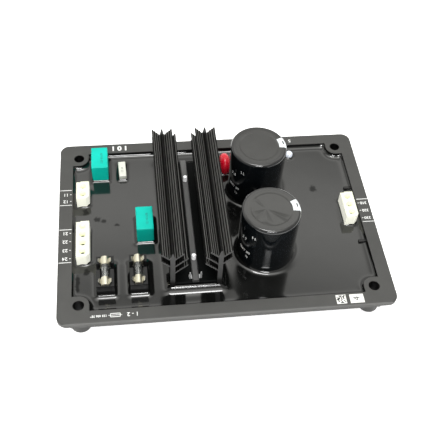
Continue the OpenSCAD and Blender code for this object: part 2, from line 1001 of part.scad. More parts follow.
module small_film_capacitor() {
    color("#e6e6de")
        on_board()
            at_small_film() {
                chamfered_block(small_film_w, small_film_l, small_film_h, film_chamfer);
                leads_through(eps)
                    small_film_leads();
            }
}

// Varistor and indicator lamp

module at_varistor() {
    translate([varistor_x, varistor_y])
        children();
}

module at_lamp() {
    translate([lamp_x, lamp_y])
        children();
}

module varistor_leads(grow = 0) {
    lead_row(2, varistor_lead_pitch, lead_d, grow);
}

module lamp_leads(grow = 0) {
    lead_row(2, lamp_lead_pitch, lead_d, grow);
}

module varistor() {
    rim_r = varistor_t / 2;
    color("#a8131c")
        on_board()
            at_varistor() {
                translate([0, 0, varistor_lift + varistor_d / 2])
                    rotate([0, 90, 0])
                        rotate_extrude() {
                            translate([0, -rim_r])
                                square([varistor_d / 2 - rim_r, varistor_t]);
                            translate([varistor_d / 2 - rim_r, 0])
                                circle(rim_r);
                        }
                leads_through(varistor_lift + varistor_lead_in)
                    varistor_leads();
            }
}

module indicator_lamp() {
    color("#eef0f0")
        on_board()
            at_lamp() {
                cylinder(d = lamp_d + 2 * lamp_flange, h = lamp_flange_t);
                rotate_extrude() {
                    square([lamp_d / 2, lamp_h - lamp_d / 2]);
                    translate([0, lamp_h - lamp_d / 2])
                        intersection() {
                            circle(d = lamp_d);
                            square(lamp_d);
                        }
                }
                leads_through(eps)
                    lamp_leads();
            }
}

// Pin headers

module at_two_way() {
    translate([-header_x, two_way_y])
        children();
}

module at_four_way() {
    translate([-header_x, four_way_y])
        children();
}

module at_three_way() {
    translate([header_x, three_way_y])
        children();
}

function header_l(count) = count * header_pitch + header_end;

// Outline with the keyed corner at the front right
module header_outline(count, grow) {
    x = header_w / 2 + grow;
    y = header_l(count) / 2 + grow;
    chamfer = header_chamfer + grow * (2 - sqrt(2));
    polygon([[-x, -y], [x - chamfer, -y], [x, -y + chamfer], [x, y], [-x, y]]);
}

module header_leads(count, grow = 0) {
    lead_row(count, header_pitch, pin_d, grow);
}

module header_housing(count) {
    color("#efefe4")
        on_board()
            difference() {
                linear_extrude(header_h)
                    difference() {
                        header_outline(count, 0);
                        translate([-header_w / 2 - over, header_l(count) / 2 - header_step_d])
                            square([header_step_w + over, header_step_d + over]);
                    }
                translate([0, 0, header_floor_t])
                    linear_extrude(header_h)
                        lead_row(count, header_pitch, cavity_d);
                translate([0, 0, -over])
                    linear_extrude(header_h)
                        header_leads(count, fit_gap);
            }
}

module header_pins(count) {
    tip_z = header_h - pin_drop;
    color("#c9b98a")
        on_board()
            lead_row_3d(count, header_pitch) {
                translate([0, 0, -board_t])
                    cylinder(d = pin_d, h = board_t + tip_z - pin_tip_h);
                translate([0, 0, tip_z - pin_tip_h])
                    cylinder(d1 = pin_d, d2 = pin_d / 2, h = pin_tip_h);
            }
}

module lead_row_3d(count, pitch) {
    for (i = [0 : count - 1])
        translate([0, (i - (count - 1) / 2) * pitch, 0])
            children();
}

module two_way_header() {
    at_two_way()
        header_housing(2);
}

module two_way_pins() {
    at_two_way()
        header_pins(2);
}

module four_way_header() {
    at_four_way()
        header_housing(4);
}

module four_way_pins() {
    at_four_way()
        header_pins(4);
}

module three_way_header() {
    at_three_way()
        header_housing(3);
}

module three_way_pins() {
    at_three_way()
        header_pins(3);
}

// Fuses in their holders. index is 0 for the left one and 1 for the right one.

module at_fuses(indexes) {
    for (index = indexes)
        translate([index == 0 ? left_fuse_x : right_fuse_x, fuse_y])
            children();
}

module clip_leads(grow = 0) {
    lead_row(2, 2 * clip_y, spring_pin_d, grow);
}

module fuse_holder(index) {
    color("#151617")
        on_board()
            at_fuses([index])
                difference() {
                    translate([-holder_w / 2, -holder_l / 2, 0])
                        cube([holder_w, holder_l, holder_h]);
                    translate([-trough_w / 2, -trough_l / 2, trough_z])
                        cube([trough_w, trough_l, holder_h]);
                    lead_row_3d(2, 2 * clip_y)
                        translate([-pocket_w / 2, -pocket_l / 2, trough_z])
                            cube([pocket_w, pocket_l, holder_h]);
                    translate([-holder_w, holder_l / 2 - rear_block_l - gap_l, holder_h - gap_depth])
                        cube([2 * holder_w, gap_l, holder_h]);
                    translate([0, 0, -over])
                        linear_extrude(holder_h)
                            clip_leads(fit_gap);
                }
}

// Section of a spring clip about the fuse's axis: a ring open at the top, with flared lips and a base below
module clip_section() {
    middle_r = clip_ring_r + spring_t / 2;
    base_z = trough_z - fuse_z;
    difference() {
        circle(clip_outer_r);
        circle(clip_ring_r);
        polygon([
            [0, 0],
            2 * clip_outer_r * [sin(spring_open), cos(spring_open)],
            [0, 4 * clip_outer_r],
            2 * clip_outer_r * [-sin(spring_open), cos(spring_open)]]);
    }
    for (s = [-1, 1])
        translate(middle_r * [s * sin(spring_open), cos(spring_open)])
            rotate(-s * spring_flare)
                translate([-spring_t / 2, -spring_t / 2])
                    square([spring_t, spring_lip]);
    translate([-spring_neck_w / 2, base_z])
        square([spring_neck_w, spring_neck_h + 1.5 * spring_t]);
    translate([-clip_outer_r, base_z])
        square([2 * clip_outer_r, spring_t]);
}

// Outline of a spring clip in the plan, which narrows towards the lips' ends
module clip_plan() {
    tip_x = clip_outer_r * sin(spring_open) + spring_lip * sin(spring_flare) + spring_t;
    polygon([
        [-tip_x, -lip_tip_l / 2], [-clip_outer_r, -spring_l / 2],
        [clip_outer_r, -spring_l / 2], [tip_x, -lip_tip_l / 2],
        [tip_x, lip_tip_l / 2], [clip_outer_r, spring_l / 2],
        [-clip_outer_r, spring_l / 2], [-tip_x, lip_tip_l / 2]]);
}

module fuse_clips(index) {
    color("#d7d2b4")
        on_board()
            at_fuses([index]) {
                lead_row_3d(2, 2 * clip_y)
                    intersection() {
                        translate([0, spring_l / 2, fuse_z])
                            rotate([90, 0, 0])
                                linear_extrude(spring_l)
                                    clip_section();
                        translate([0, 0, trough_z - over])
                            linear_extrude(2 * fuse_z)
                                clip_plan();
                    }
                leads_through(trough_z + eps)
                    clip_leads();
            }
}

module along_fuse(index) {
    on_board()
        at_fuses([index])
            translate([0, 0, fuse_z])
                rotate([90, 0, 0])
                    children();
}

module fuse_glass(index) {
    length = fuse_l - 2 * fuse_cap_t;
    color("#cfd8d6")
        along_fuse(index)
            difference() {
                cylinder(d = glass_d, h = length, center = true);
                cylinder(d = glass_d - 2 * glass_t, h = 2 * length, center = true);
            }
}

module fuse_caps(index) {
    color("#d8cf9e")
        along_fuse(index)
            for (s = [0, 1])
                mirror([0, 0, s])
                    translate([0, 0, fuse_l / 2 - fuse_cap_l])
                        difference() {
                            cylinder(d = fuse_d, h = fuse_cap_l);
                            translate([0, 0, -fuse_cap_t])
                                cylinder(d = fuse_d - 2 * fuse_cap_t, h = fuse_cap_l);
                        }
}

module fuse_wire(index) {
    color("#cfd0d0")
        along_fuse(index)
            cylinder(d = fuse_wire_d, h = fuse_l - 2 * fuse_cap_t, center = true);
}

module left_fuse_holder() {
    fuse_holder(0);
}

module left_fuse_clips() {
    fuse_clips(0);
}

module left_fuse_glass() {
    fuse_glass(0);
}

module left_fuse_caps() {
    fuse_caps(0);
}

module left_fuse_wire() {
    fuse_wire(0);
}

module right_fuse_holder() {
    fuse_holder(1);
}

module right_fuse_clips() {
    fuse_clips(1);
}

module right_fuse_glass() {
    fuse_glass(1);
}

module right_fuse_caps() {
    fuse_caps(1);
}

module right_fuse_wire() {
    fuse_wire(1);
}

tray();
potting_resin();
circuit_board();
left_heat_sink();
right_heat_sink();
sink_carrier();
carrier_bar();
carrier_studs();
bar_clips();
left_front_device();
left_rear_device();
right_front_device();
right_rear_device();
device_screws();
front_capacitor_can();
front_capacitor_sleeve();
front_capacitor_disc();
rear_capacitor_can();
rear_capacitor_sleeve();
rear_capacitor_disc();
upper_film_capacitor();
lower_film_capacitor();
small_film_capacitor();
varistor();
indicator_lamp();
two_way_header();
two_way_pins();
four_way_header();
four_way_pins();
three_way_header();
three_way_pins();
left_fuse_holder();
left_fuse_clips();
left_fuse_glass();
left_fuse_caps();
left_fuse_wire();
right_fuse_holder();
right_fuse_clips();
right_fuse_glass();
right_fuse_caps();
right_fuse_wire();
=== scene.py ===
"""Looks of an automatic voltage regulator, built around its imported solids. Metres, +Z up."""

import json
import math

import bmesh
import bpy
import numpy as np
from mathutils import Matrix, Vector

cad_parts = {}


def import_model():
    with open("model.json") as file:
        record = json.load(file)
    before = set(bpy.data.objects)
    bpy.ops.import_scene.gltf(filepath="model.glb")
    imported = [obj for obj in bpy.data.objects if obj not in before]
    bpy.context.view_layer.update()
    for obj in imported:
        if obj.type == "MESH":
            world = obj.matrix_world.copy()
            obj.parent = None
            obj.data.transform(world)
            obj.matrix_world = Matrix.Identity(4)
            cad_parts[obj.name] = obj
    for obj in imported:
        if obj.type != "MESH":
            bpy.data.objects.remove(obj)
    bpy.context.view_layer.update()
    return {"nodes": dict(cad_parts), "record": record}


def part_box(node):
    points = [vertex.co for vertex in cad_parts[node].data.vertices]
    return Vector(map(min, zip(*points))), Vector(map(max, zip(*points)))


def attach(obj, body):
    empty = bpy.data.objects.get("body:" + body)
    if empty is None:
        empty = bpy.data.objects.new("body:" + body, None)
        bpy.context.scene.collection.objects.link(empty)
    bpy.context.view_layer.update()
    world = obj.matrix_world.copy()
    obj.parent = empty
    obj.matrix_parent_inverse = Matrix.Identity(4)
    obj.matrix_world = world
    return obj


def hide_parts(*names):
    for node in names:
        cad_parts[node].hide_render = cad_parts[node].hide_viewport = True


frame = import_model()
MM = 0.001


# Places that the pieces below share, taken from the solids

def section_box(node, z):
    """Lowest and highest corner of the cut through a CAD node at the level z."""
    mesh = frame["nodes"][node].data
    cuts = []
    for edge in mesh.edges:
        a, b = (mesh.vertices[i].co for i in edge.vertices)
        if (a.z - z) * (b.z - z) < 0:
            cuts.append(a.lerp(b, (z - a.z) / (b.z - a.z)))
    low = Vector((min(c.x for c in cuts), min(c.y for c in cuts)))
    high = Vector((max(c.x for c in cuts), max(c.y for c in cuts)))
    return low, high


def middle(node):
    """Centre of a CAD node's box."""
    low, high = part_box(node)
    return (low + high) / 2


RIM_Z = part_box("tray")[1].z
RESIN_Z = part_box("potting_resin")[1].z
CARRIER_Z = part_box("sink_carrier")[1].z
WALL_T = 2.5 * MM
BOSS_R = 6.25 * MM
BODY = section_box("tray", RESIN_Z)[1]
POOL_X = BODY.x - WALL_T
POOL_Y = BODY.y - WALL_T
HOLE = next(m for m in frame["record"]["mounts"] if m["name"] == "tray_bolts")["dims"]
HOLE_X = HOLE["spacing_x_mm"] / 2 * MM
HOLE_Y = HOLE["spacing_y_mm"] / 2 * MM
PRINT_T = 0.03 * MM


# Materials

FINE_GRAIN = 0.01 * MM
ALONG_Y = (1, 0.02, 1)
# Heat sinks: half of the stem, the ribs that carry painted highlights, and the fins whose ribs are open to
# view
STEM_HALF = 0.7 * MM
RIB_PITCH = 1.3 * MM
RIB_START = 0.18 * MM
TOP_FINS = 44 * MM
TOP_FIN_REACH = 6.3 * MM
# Pale polarity patch over a capacitor's edge, and the dark sign on it
PATCH_ANGLE = math.radians(7)
PATCH_HALF = math.radians(15.5)
PATCH_R = 12.7 * MM
SIGN_HALF = math.radians(5)
SIGN_R = 15.6 * MM
SIGN_T = 0.35 * MM
# Pin cavities: their reach from a header's middle in shares of its box, the level below which they are
# painted dark as shade, and their painted glow
CAVITY_X = 0.25
CAVITY_Y = 0.415
CAVITY_TOP = 0.495
CAVITY_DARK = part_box("four_way_header")[1].z - 3.9 * MM
CAVITY_PAINTED_GLOW = 0.5
# Patches where the resin reflects less and so looks darker: the middle and the half size of each, in
# millimetres
DIM_PATCHES = (
    (-83.6, 13.9, 2, 3.4), (-76.1, 7.5, 2.5, 2.3), (-72.1, 6.2, 2, 1.6),
    (-64, 2.3, 2, 1.2), (-83.2, -32.4, 2.1, 2.5), (-88.4, -41, 1.4, 6.5), (66.3, 23.3, 2.5, 3),
)


class Graph:
    """A tree of shader nodes, with short calls that add to it."""

    def __init__(self, tree):
        self.tree = tree

    def add(self, kind, **inputs):
        node = self.tree.nodes.new(kind)
        for name, value in inputs.items():
            self.join(value, node.inputs[name.replace("_", " ")])
        return node

    def join(self, value, socket):
        if isinstance(value, bpy.types.NodeSocket):
            self.tree.links.new(value, socket)
        else:
            socket.default_value = value

    def length(self, x, y):
        """Length of a flat vector."""
        return self.math("SQRT", self.math("ADD", self.math("MULTIPLY", x, x), self.math("MULTIPLY", y, y)))

    def axes(self, vector):
        return self.add("ShaderNodeSeparateXYZ", Vector=vector).outputs

    def math(self, operation, a, b=0.0):
        node = self.add("ShaderNodeMath")
        node.operation = operation
        self.join(a, node.inputs[0])
        self.join(b, node.inputs[1])
        return node.outputs[0]

    def span(self, value, low, high, start=0.3, end=0.7, ease="LINEAR"):
        """Takes the values from start to end to the numbers from low to high."""
        node = self.add("ShaderNodeMapRange", Value=value)
        node.interpolation_type = ease
        for name, number in (("From Min", start), ("From Max", end), ("To Min", low), ("To Max", high)):
            self.join(number, node.inputs[name])
        return node.outputs["Result"]


class Look(Graph):
    """A material, with short calls that add textures to its shader."""

    def __init__(self, name, edge=0.0, **sockets):
        self.material = bpy.data.materials.new(name)
        self.material.use_nodes = True
        super().__init__(self.material.node_tree)
        self.shader = self.tree.nodes["Principled BSDF"]
        coordinates = self.add("ShaderNodeTexCoord").outputs
        self.place = coordinates["Object"]
        self.share = coordinates["Generated"]
        self.facing = coordinates["Normal"]
        for socket, value in sockets.items():
            self.set(socket.replace("_", " "), value)
        if edge:
            rounded = self.add("ShaderNodeBevel", Radius=edge)
            self.set("Normal", rounded.outputs["Normal"])

    def set(self, socket, value):
        self.join(value, self.shader.inputs[socket])

    def colour_so_far(self):
        return self.shader.inputs["Base Color"].links[0].from_socket

    def noise(self, scale, detail=3.0, stretch=(1, 1, 1)):
        place = self.add("ShaderNodeMapping", Vector=self.place, Scale=stretch)
        node = self.add("ShaderNodeTexNoise", Vector=place.outputs[0], Scale=scale, Detail=detail)
        return node.outputs["Fac"]

    def all(self, *masks):
        """One where every mask is one."""
        result = masks[0]
        for mask in masks[1:]:
            result = self.math("MULTIPLY", result, mask)
        return result

    def within(self, value, limit):
        """One where the value lies between -limit and limit."""
        return self.math("LESS_THAN", self.math("ABSOLUTE", value), limit)

    def mix(self, factor, low, high):
        node = self.add("ShaderNodeMix")
        node.data_type = "RGBA"
        colours = [s for s in node.inputs if s.type == "RGBA"]
        self.join(factor, node.inputs[0])
        self.join(low, colours[0])
        self.join(high, colours[1])
        return next(s for s in node.outputs if s.type == "RGBA")

    def clouds(self, low, high, scale=110):
        """A colour that drifts between two shades."""
        return self.mix(self.span(self.noise(scale), 0, 1), (*low, 1), (*high, 1))

    def rough(self, low, high, factor):
        self.set("Roughness", self.span(factor, low, high))

    def bump(self, height, depth):
        node = self.add("ShaderNodeBump", Height=height, Distance=depth)
        earlier = self.shader.inputs["Normal"].links
        if earlier:
            self.join(earlier[0].from_socket, node.inputs["Normal"])
        self.set("Normal", node.outputs["Normal"])


def moulded(name, low, high, rough, grain=0.02 * MM, edge=0.25 * MM, **sockets):
    """Moulded plastic: faint colour clouds, a fine grain and uneven gloss."""
    look = Look(name, edge, **sockets)
    look.set("Base Color", look.clouds(low, high))
    look.rough(rough - 0.07, rough + 0.07, look.noise(900))
    look.bump(look.noise(2600, 2), grain)
    return look


def metal(name, low, high, rough, stretch=(1, 1, 1), metallic=1.0):
    """Metal with drawing or rolling marks along the axis that is stretched least."""
    look = Look(name, 0.15 * MM, Metallic=metallic)
    marks = look.noise(1400, 3, stretch)
    look.set("Base Color", look.mix(look.span(look.noise(260, 3, stretch), 0, 1), (*low, 1), (*high, 1)))
    look.rough(rough - 0.08, rough + 0.1, marks)
    look.bump(marks, FINE_GRAIN)
    return look


def ink(name, low, high, rough=0.5):
    """Print or paper, which is too thin to have an edge."""
    return moulded(name, low, high, rough, FINE_GRAIN, edge=0)


def tray_look():
    """Matt plastic with a painted highlight along its front edge, and painted black shade in the bores and
    on the inner walls, which resin wetted and left glossier.
    """
    edge_highlight_grey = (0.1, 0.1, 0.096, 1)
    painted_shade_black = (0.004, 0.004, 0.004, 1)
    look = moulded("tray_plastic", (0.041, 0.041, 0.039), (0.048, 0.048, 0.0455), 0.55, edge=0.5 * MM)
    x, y, z = look.axes(look.place)
    # painted highlight: the flange's front edge is paler, standing in for light caught by its rounded edge
    highlit_front_edge = look.all(
        look.math("LESS_THAN", y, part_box("tray")[0].y + 0.6 * MM),
        look.within(look.math("SUBTRACT", z, RIM_Z - 0.5 * MM), 0.4 * MM),
    )
    look.set("Base Color", look.mix(highlit_front_edge, look.colour_so_far(), edge_highlight_grey))
    # painted shade: the bores and inner walls are painted black, and they are also glossier where resin
    # wetted them
    wet_and_shaded = look.all(
        look.math("LESS_THAN", z, RIM_Z - 0.5 * MM),
        look.math("GREATER_THAN", z, RIM_Z / 2),
        look.within(x, POOL_X + WALL_T / 2),
        look.within(y, POOL_Y + WALL_T / 2),
    )
    look.set("Base Color", look.mix(wet_and_shaded, look.colour_so_far(), painted_shade_black))
    look.set("Roughness", look.span(wet_and_shaded, 0.5, 0.3, 0, 1))
    return look


def resin_look():
    """Poured black resin: a mirror with slow waves, a little dust and some patches that reflect less."""
    look = Look("potting_resin")
    x, y, _ = look.axes(look.place)
    ragged = look.span(look.noise(500, 2), -0.35, 0.35)
    dimmed = 0.0
    for at_x, at_y, half_x, half_y in DIM_PATCHES:
        off_x = look.math("DIVIDE", look.math("SUBTRACT", x, at_x * MM), half_x * MM)
        off_y = look.math("DIVIDE", look.math("SUBTRACT", y, at_y * MM), half_y * MM)
        away = look.math("ADD", look.length(off_x, off_y), ragged)
        dimmed = look.math("MAXIMUM", dimmed, look.span(away, 1, 0, 0.6, 1.1))
    look.set("Specular IOR Level", look.span(dimmed, 0.75, 0.25, 0, 1))
    look.set("Base Color", look.clouds((0.003, 0.0032, 0.003), (0.005, 0.0052, 0.005), 38))
    dust = look.span(look.noise(1100, 1), 0, 1, 0.74, 0.8)
    look.rough(0.07, 0.11, look.noise(60, 2))
    look.bump(look.noise(34, 1), 0.06 * MM)
    look.bump(look.noise(170, 1), 0.008 * MM)
    look.bump(dust, 0.015 * MM)
    return look


def sink_look(stem_x):
    """Black anodised extrusion with painted highlights along its ribs, and sawn ends that are bare grey
    above and painted dark near their feet, where they mirror the resin.
    """
    rib_highlight_grey = (0.12, 0.12, 0.115, 1)
    reflected_resin_black = (0.012, 0.012, 0.012, 1)
    bare_grey = (0.062, 0.062, 0.062, 1)
    look = metal("black_anodised", (0.003, 0.003, 0.003), (0.006, 0.006, 0.0055), 0.45, ALONG_Y, metallic=0)
    look.set("Specular IOR Level", 0.12)
    x, _, z = look.axes(look.place)
    _, facing_y, _ = look.axes(look.facing)
    from_stem = look.math("ABSOLUTE", look.math("SUBTRACT", x, stem_x))
    # painted highlight: grey stripes along the ribs of the fins open to view stand in for light caught by
    # their ridges
    turn = look.math("MULTIPLY", look.math("SUBTRACT", from_stem, RIB_START), 2 * math.pi / RIB_PITCH)
    rib = look.span(look.math("COSINE", turn), 0, 1, 0, 0.8)
    upper = look.math("GREATER_THAN", look.math("SUBTRACT", z, from_stem), TOP_FINS)
    outer = look.math("GREATER_THAN", from_stem, TOP_FIN_REACH)
    open_to_view = look.math("MAXIMUM", upper, outer)
    rib_highlight = look.all(rib, open_to_view, look.math("GREATER_THAN", from_stem, STEM_HALF))
    look.set("Base Color", look.mix(rib_highlight, look.colour_so_far(), rib_highlight_grey))
    # painted reflection: the sawn ends are darkened near their feet, standing in for the dark resin that
    # they mirror there; above they are bare grey
    sawn = look.math("GREATER_THAN", look.math("ABSOLUTE", facing_y), 0.8)
    bare = look.all(sawn, look.span(z, 0, 1, CARRIER_Z + 2 * MM, CARRIER_Z + 6 * MM))
    black = look.mix(sawn, look.colour_so_far(), reflected_resin_black)
    look.set("Base Color", look.mix(bare, black, bare_grey))
    return look


def polarity_patch(look, centre):
    """Masks for the pale polarity patch over a capacitor's edge, and for the dark sign on it."""
    x, y, _ = look.axes(look.place)
    off_x, off_y = look.math("SUBTRACT", x, centre.x), look.math("SUBTRACT", y, centre.y)
    away = look.length(off_x, off_y)
    turn = look.math("SUBTRACT", look.math("ARCTAN2", off_y, off_x), PATCH_ANGLE)
    patch = look.all(look.within(turn, PATCH_HALF), look.math("GREATER_THAN", away, PATCH_R))
    sign = look.all(look.within(turn, SIGN_HALF), look.within(look.math("SUBTRACT", away, SIGN_R), SIGN_T))
    return patch, sign


def patched(look, centre):
    """Lays the polarity patch and its sign over a look's colour."""
    pale, dark = (0.72, 0.76, 0.78, 1), (0.02, 0.022, 0.024, 1)
    patch, sign = polarity_patch(look, centre)
    look.set("Base Color", look.mix(patch, look.colour_so_far(), pale))
    look.set("Base Color", look.mix(sign, look.colour_so_far(), dark))


def sleeve_look(name, centre):
    """Shrunk black film with a painted grey sheen over the lip, and a polarity stripe up its side."""
    painted_lip_sheen = (0.018, 0.018, 0.0175, 1)
    look = Look(name, Coat_Weight=0.5, Coat_Roughness=0.06, Specular_IOR_Level=0.4)
    _, _, z = look.axes(look.place)
    lip = look.span(z, 0, 1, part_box(name)[1].z - 0.8 * MM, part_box(name)[1].z - 0.3 * MM)
    black = look.clouds((0.0025, 0.0035, 0.0045), (0.0045, 0.0055, 0.0065), 120)
    # painted reflection: the lip is painted grey where it mirrors the sky
    look.set("Base Color", look.mix(lip, black, painted_lip_sheen))
    patched(look, centre)
    look.rough(0.07, 0.11, look.noise(140))
    look.bump(look.noise(75, 2, (1, 1, 0.35)), 0.006 * MM)
    return look


def nylon_look():
    """Natural nylon, with a painted glow on its sides and in the pin cavities, above their bottoms, which
    are painted dark as shade.
    """
    dark, ivory = (0.03, 0.03, 0.025, 1), (0.86, 0.85, 0.78, 1)
    look = moulded("nylon", (0.74, 0.75, 0.6), (0.8, 0.81, 0.67), 0.45, FINE_GRAIN)
    x, y, z = (look.math("SUBTRACT", share, 0.5) for share in look.axes(look.share))
    _, _, up = look.axes(look.facing)
    below_top = look.math("LESS_THAN", z, CAVITY_TOP)
    cavity = look.all(look.within(x, CAVITY_X), look.within(y, CAVITY_Y), below_top)
    _, _, level = look.axes(look.place)
    # painted shade: the cavities' bottoms are painted dark
    shaded_bottom = look.all(cavity, look.span(level, 1, 0, CAVITY_DARK - 0.5 * MM, CAVITY_DARK))
    look.set("Base Color", look.mix(shaded_bottom, look.colour_so_far(), dark))
    # painted light: emission on the sides and in the cavities stands in for light through the translucent
    # nylon
    painted_side_glow = look.span(up, 0.5, 0.06, 0.2, 0.8)
    outside = look.math("MULTIPLY", look.math("SUBTRACT", 1, cavity), painted_side_glow)
    inside = look.math("MULTIPLY", cavity, CAVITY_PAINTED_GLOW)
    glow = look.math("ADD", outside, inside)
    yellow = look.clouds((0.82, 0.86, 0.54), (0.86, 0.9, 0.6))
    look.set("Emission Color", look.mix(cavity, ivory, yellow))
    look.set("Emission Strength", look.math("MULTIPLY", glow, look.math("SUBTRACT", 1, shaded_bottom)))
    return look


def stud_look():
    """Bright zinc plating, nearly white, with a painted glow."""
    look = metal("white_zinc", (0.84, 0.85, 0.86), (0.92, 0.92, 0.92), 0.4, metallic=0.1)
    # painted light: a faint glow that brightens the studs
    look.set("Emission Color", look.clouds((0.8, 0.8, 0.8), (0.9, 0.9, 0.9)))
    look.set("Emission Strength", 0.35)
    return look


def glass_look():
    """Clear, slightly uneven tube."""
    look = Look("fuse_glass", Transmission_Weight=0.97, IOR=1.5)
    look.set("Base Color", look.clouds((0.93, 0.96, 0.95), (0.98, 0.99, 0.98), 300))
    look.rough(0.0, 0.03, look.noise(700))
    return look


def disc_look(name, centre):
    """Satin film with the polarity patch's inner end on it."""
    look = Look(name, Coat_Weight=0.3, Coat_Roughness=0.12)
    look.set("Base Color", look.clouds((0.022, 0.022, 0.0205), (0.028, 0.028, 0.0265), 90))
    patched(look, centre)
    look.rough(0.13, 0.17, look.noise(120))
    return look


def lens_look():
    """Milky lens with a cold tint and a painted glow."""
    # painted light: a faint glow brightens the lens
    look = Look("lamp_lens", Coat_Weight=0.5, Emission_Strength=0.25)
    look.set("Base Color", look.clouds((0.74, 0.78, 0.86), (0.82, 0.86, 0.93), 300))
    look.set("Emission Color", look.clouds((0.72, 0.78, 0.9), (0.8, 0.86, 0.96), 300))
    look.rough(0.15, 0.3, look.noise(500))
    return look


LOOKS = {
    "tray_plastic": tray_look(),
    "potting_resin": resin_look(),
    "board_laminate": moulded("board_laminate", (0.03, 0.14, 0.06), (0.04, 0.18, 0.08), 0.4),
    "carrier_plastic": moulded(
        "carrier_plastic", (0.0015, 0.002, 0.002), (0.003, 0.0035, 0.0035), 0.5, Specular_IOR_Level=0.06),
    "bar_steel": metal("bar_steel", (0.1, 0.1, 0.1), (0.14, 0.14, 0.14), 0.42, ALONG_Y, metallic=0.5),
    "bright_steel": metal("bright_steel", (0.6, 0.61, 0.62), (0.72, 0.72, 0.72), 0.36, metallic=0.6),
    "device_epoxy": moulded("device_epoxy", (0.018, 0.018, 0.019), (0.026, 0.026, 0.027), 0.55),
    "can_aluminium": metal("can_aluminium", (0.6, 0.61, 0.62), (0.7, 0.71, 0.72), 0.3),
    "teal_case": moulded(
        "teal_case", (0.001, 0.5, 0.4), (0.003, 0.56, 0.46), 0.42,
        FINE_GRAIN, edge=0.4 * MM, Specular_IOR_Level=0.16),
    "white_case": moulded("white_case", (0.62, 0.63, 0.56), (0.7, 0.71, 0.64), 0.4, FINE_GRAIN),
    "red_coating": moulded("red_coating", (0.62, 0.004, 0.02), (0.74, 0.008, 0.03), 0.25, grain=0.03 * MM),
    "lamp_lens": lens_look(),
    "nylon": nylon_look(),
    "tinned_brass": metal("tinned_brass", (0.6, 0.55, 0.4), (0.72, 0.67, 0.5), 0.28),
    "holder_plastic": moulded(
        "holder_plastic", (0.005, 0.0053, 0.0055), (0.009, 0.0093, 0.0095), 0.45, Specular_IOR_Level=0.35),
    "spring_brass": metal("spring_brass", (0.5, 0.49, 0.43), (0.62, 0.6, 0.53), 0.3),
    "fuse_glass": glass_look(),
    "cap_brass": metal("cap_brass", (0.7, 0.67, 0.53), (0.8, 0.77, 0.63), 0.36),
    "fuse_wire": metal("fuse_wire", (0.68, 0.68, 0.66), (0.8, 0.8, 0.78), 0.25),
}
DISC_LOOKS = {
    node: disc_look(node, middle(node)) for node in ("front_capacitor_disc", "rear_capacitor_disc")
}
WHITE_PRINT = ink("white_print", (0.72, 0.73, 0.72), (0.84, 0.85, 0.84))
TEAL_PRINT = ink("teal_print", (0.002, 0.1, 0.08), (0.004, 0.14, 0.11))
DARK_PRINT = ink("dark_print", (0.01, 0.012, 0.012), (0.02, 0.022, 0.022))
GREY_PRINT = ink("grey_print", (0.16, 0.16, 0.14), (0.2, 0.2, 0.18))
PAPER = ink("label_paper", (0.78, 0.78, 0.75), (0.86, 0.86, 0.83), rough=0.6)


def look_of(node, slot):
    """The look of a CAD node: one made for the node itself, or else its slot's."""
    if node == "carrier_studs":
        return stud_look()
    if slot == "sleeve_film":
        return sleeve_look(node, middle(node))
    if slot == "end_disc":
        return DISC_LOOKS[node]
    if slot == "black_anodised":
        low, high = section_box(node, RESIN_Z)
        return sink_look((low.x + high.x) / 2)
    return LOOKS[slot]


for part in frame["record"]["subparts"]:
    slots = frame["nodes"][part["node"]].data.materials
    slots.clear()
    slots.append(look_of(part["node"], part["material_slot"]).material)


# Mesh helpers

def piece(name, mesh, look, smooth=False):
    """A new piece that rides with the regulator."""
    obj = bpy.data.objects.new(name, mesh)
    bpy.context.scene.collection.objects.link(obj)
    mesh.materials.append(look.material)
    mesh.polygons.foreach_set("use_smooth", [smooth] * len(mesh.polygons))
    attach(obj, "root")
    return obj


def text_mesh(text, size, weight):
    """Flat figures with a little thickness, centred on the origin."""
    curve = bpy.data.curves.new("figures", "FONT")
    curve.body = text
    curve.size = size
    curve.offset = weight
    curve.extrude = PRINT_T / 2
    curve.align_x = "CENTER"
    curve.align_y = "CENTER"
    holder = bpy.data.objects.new("figures", curve)
    bpy.context.scene.collection.objects.link(holder)
    graph = bpy.context.evaluated_depsgraph_get()
    mesh = bpy.data.meshes.new_from_object(holder.evaluated_get(graph), depsgraph=graph)
    bpy.data.objects.remove(holder)
    return mesh


class Print:
    """Gathers strokes and figures into one thin printed piece."""

    def __init__(self):
        self.bm = bmesh.new()

    def stroke(self, start, end, width, z):
        """A straight printed line between two points."""
        a, b = Vector(start), Vector(end)
        along = b - a
        place = Matrix.Translation(((a.x + b.x) / 2, (a.y + b.y) / 2, z + PRINT_T / 2))
        turn = Matrix.Rotation(math.atan2(along.y, along.x), 4, "Z")
        size = Matrix.Diagonal((along.length, width, PRINT_T, 1))
        bmesh.ops.create_cube(self.bm, size=1, matrix=place @ turn @ size)

    def figures(self, text, size, x, y, z, turn=0.0, weight=0.0):
        """Figures that lie flat, round a point."""
        mesh = text_mesh(text, size, weight)
        mesh.transform(Matrix.Translation((x, y, z + PRINT_T / 2)) @ Matrix.Rotation(turn, 4, "Z"))
        self.bm.from_mesh(mesh)
        bpy.data.meshes.remove(mesh)

    def figures_round(self, text, size, centre, radius, angle, z, weight=0.0):
        """Figures wrapped round an upright cylinder."""
        mesh = text_mesh(text, size, weight)
        for v in mesh.vertices:
            turn = angle + v.co.x / radius
            out = radius + v.co.z + PRINT_T / 2
            v.co = (centre.x + out * math.cos(turn), centre.y + out * math.sin(turn), z + v.co.y)
        self.bm.from_mesh(mesh)
        bpy.data.meshes.remove(mesh)

    def done(self, name, look):
        mesh = bpy.data.meshes.new(name)
        self.bm.to_mesh(mesh)
        self.bm.free()
        return piece(name, mesh, look)


# Resin surface: it climbs up the walls and up every piece that stands in it

GRID = 0.36 * MM
